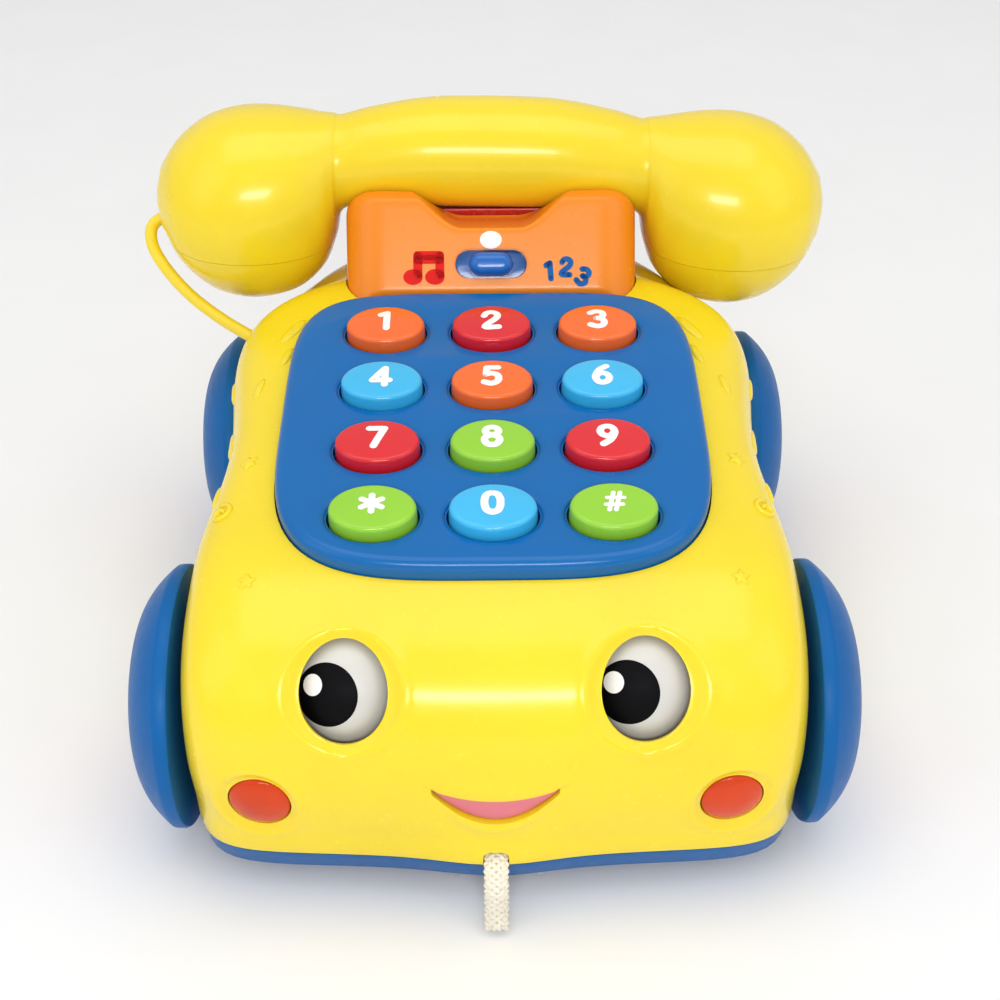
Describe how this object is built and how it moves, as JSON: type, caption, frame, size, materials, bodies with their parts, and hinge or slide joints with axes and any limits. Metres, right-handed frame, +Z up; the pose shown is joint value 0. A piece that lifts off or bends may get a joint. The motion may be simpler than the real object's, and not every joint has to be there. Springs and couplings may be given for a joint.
{
  "type": "toy telephone",
  "caption": "Pull-along toy telephone shaped like a smiling car: push-button keypad on its back, handset in a cradle, rolling eyes and domed wheels.",
  "frame": {"origin": "on the ground under the middle of the toy's bounding box, cords left out", "axes": "+X to the right of someone who looks at the toy's face, +Y to its back, where the handset is, +Z up; the face looks along -Y"},
  "size_m": [0.1753, 0.179, 0.1234],
  "materials": {
    "shell_yellow": "glossy moulded ABS",
    "base_blue": "glossy moulded ABS",
    "panel_blue": "glossy moulded ABS",
    "wheel_blue": "satin moulded plastic",
    "slider_blue": "glossy moulded ABS",
    "cradle_orange": "glossy moulded ABS",
    "hub_orange": "glossy moulded ABS",
    "button_red": "glossy moulded ABS",
    "key_orange": "glossy button",
    "key_red": "glossy button",
    "key_light_blue": "glossy button",
    "key_green": "glossy button",
    "eye_white": "glossy, printed black pupil",
    "smile_pink": "satin",
    "lens": "clear tinted plastic",
    "led": "clear tinted epoxy",
    "membrane": "silicone rubber",
    "board": "green solder mask",
    "black_plastic": "satin",
    "steel": "plain zinc plated",
    "battery_sleeve": "plain printed sleeve",
    "cord_yellow": "smooth vinyl cord",
    "cord_cream": "braided polyester"
  },
  "bodies": {
    "toy": {"upper_shell": "shell_yellow", "base_tray": "base_blue", "battery_cover": "base_blue", "battery_front": "battery_sleeve", "battery_rear": "battery_sleeve", "contacts_left": "steel", "contacts_right": "steel", "main_board": "board", "speaker": "black_plastic", "keypad_panel": "panel_blue", "keypad_membrane": "membrane", "keypad_board": "board", "cradle": "cradle_orange", "mode_switch": "black_plastic", "eye_bracket": "black_plastic", "headlight_lens_left": "lens", "headlight_lens_right": "lens", "headlight_led_left": "led", "headlight_led_right": "led", "smile_insert": "smile_pink", "handset_cord": "cord_yellow", "pull_cord": "cord_cream", "screw_front_left": "steel", "screw_front_right": "steel", "screw_rear_left": "steel", "screw_rear_right": "steel"},
    "front_wheels": {"wheel_front_left": "wheel_blue", "wheel_front_right": "wheel_blue", "hub_cap_front_left": "hub_orange", "hub_cap_front_right": "hub_orange", "axle_front": "steel", "eye_cam": "black_plastic"},
    "rear_wheels": {"wheel_rear_left": "wheel_blue", "wheel_rear_right": "wheel_blue", "hub_cap_rear_left": "hub_orange", "hub_cap_rear_right": "hub_orange", "axle_rear": "steel"},
    "handset": {"handset_shell": "shell_yellow", "mouthpiece_cap": "shell_yellow", "earpiece_cap": "shell_yellow"},
    "hook": {"hook_button": "button_red"},
    "mode_slider_body": {"mode_slider": "slider_blue"},
    "eye_left": {"eyeball_left": "eye_white"},
    "eye_right": {"eyeball_right": "eye_white"},
    "eye_link_body": {"eye_link": "black_plastic"},
    "key_star_body": {"key_star": "key_green"},
    "key_0_body": {"key_0": "key_light_blue"},
    "key_hash_body": {"key_hash": "key_green"},
    "key_1_body": {"key_1": "key_orange"},
    "key_2_body": {"key_2": "key_red"},
    "key_3_body": {"key_3": "key_orange"},
    "key_4_body": {"key_4": "key_light_blue"},
    "key_5_body": {"key_5": "key_orange"},
    "key_6_body": {"key_6": "key_light_blue"},
    "key_7_body": {"key_7": "key_red"},
    "key_8_body": {"key_8": "key_green"},
    "key_9_body": {"key_9": "key_red"}
  },
  "joints": [
    {"name": "front_axle_spin", "type": "hinge", "parent": "toy", "child": "front_wheels", "pos_m": [0, -0.0495, 0.029], "axis": [1, 0, 0], "continuous": true},
    {"name": "rear_axle_spin", "type": "hinge", "parent": "toy", "child": "rear_wheels", "pos_m": [0, 0.054, 0.029], "axis": [1, 0, 0], "continuous": true},
    {"name": "handset_lift", "type": "slide", "parent": "toy", "child": "handset", "axis": [0, 0, 1], "range_m": [0, 0.06]},
    {"name": "hook_rise", "type": "slide", "parent": "toy", "child": "hook", "axis": [0, 0, 1], "range_m": [0, 0.0025]},
    {"name": "mode_slide", "type": "slide", "parent": "toy", "child": "mode_slider_body", "axis": [1, 0, 0], "range_m": [-0.003, 0.003]},
    {"name": "eye_right_swing", "type": "hinge", "parent": "toy", "child": "eye_right", "pos_m": [0.03, -0.0644, 0.0456], "axis": [0, 0.5, 0.866], "range_deg": [-2, 26]},
    {"name": "eye_left_swing", "type": "hinge", "parent": "toy", "child": "eye_left", "pos_m": [-0.03, -0.0644, 0.0456], "axis": [0, 0.5, 0.866], "range_deg": [-2, 26]},
    {"name": "eye_link_slide", "type": "slide", "parent": "toy", "child": "eye_link_body", "axis": [1, 0, 0], "range_m": [-0.00385, 0.0003]},
    {"name": "key_star_press", "type": "slide", "parent": "toy", "child": "key_star_body", "axis": [0, 0.1599, -0.9871], "range_m": [0, 0.0016], "stiffness_N_per_m": 500, "springref_m": -0.0006},
    {"name": "key_0_press", "type": "slide", "parent": "toy", "child": "key_0_body", "axis": [0, 0.1599, -0.9871], "range_m": [0, 0.0016], "stiffness_N_per_m": 500, "springref_m": -0.0006},
    {"name": "key_hash_press", "type": "slide", "parent": "toy", "child": "key_hash_body", "axis": [0, 0.1599, -0.9871], "range_m": [0, 0.0016], "stiffness_N_per_m": 500, "springref_m": -0.0006},
    {"name": "key_1_press", "type": "slide", "parent": "toy", "child": "key_1_body", "axis": [0, 0.1599, -0.9871], "range_m": [0, 0.0016], "stiffness_N_per_m": 500, "springref_m": -0.0006},
    {"name": "key_2_press", "type": "slide", "parent": "toy", "child": "key_2_body", "axis": [0, 0.1599, -0.9871], "range_m": [0, 0.0016], "stiffness_N_per_m": 500, "springref_m": -0.0006},
    {"name": "key_3_press", "type": "slide", "parent": "toy", "child": "key_3_body", "axis": [0, 0.1599, -0.9871], "range_m": [0, 0.0016], "stiffness_N_per_m": 500, "springref_m": -0.0006},
    {"name": "key_4_press", "type": "slide", "parent": "toy", "child": "key_4_body", "axis": [0, 0.1599, -0.9871], "range_m": [0, 0.0016], "stiffness_N_per_m": 500, "springref_m": -0.0006},
    {"name": "key_5_press", "type": "slide", "parent": "toy", "child": "key_5_body", "axis": [0, 0.1599, -0.9871], "range_m": [0, 0.0016], "stiffness_N_per_m": 500, "springref_m": -0.0006},
    {"name": "key_6_press", "type": "slide", "parent": "toy", "child": "key_6_body", "axis": [0, 0.1599, -0.9871], "range_m": [0, 0.0016], "stiffness_N_per_m": 500, "springref_m": -0.0006},
    {"name": "key_7_press", "type": "slide", "parent": "toy", "child": "key_7_body", "axis": [0, 0.1599, -0.9871], "range_m": [0, 0.0016], "stiffness_N_per_m": 500, "springref_m": -0.0006},
    {"name": "key_8_press", "type": "slide", "parent": "toy", "child": "key_8_body", "axis": [0, 0.1599, -0.9871], "range_m": [0, 0.0016], "stiffness_N_per_m": 500, "springref_m": -0.0006},
    {"name": "key_9_press", "type": "slide", "parent": "toy", "child": "key_9_body", "axis": [0, 0.1599, -0.9871], "range_m": [0, 0.0016], "stiffness_N_per_m": 500, "springref_m": -0.0006}
  ],
  "couplings": [
    {"joint": "hook_rise", "follows": "handset_lift", "ratio": 0.04},
    {"joint": "eye_left_swing", "follows": "eye_link_slide", "rad_per_m": -117.65},
    {"joint": "eye_right_swing", "follows": "eye_link_slide", "rad_per_m": -117.65}
  ]
}
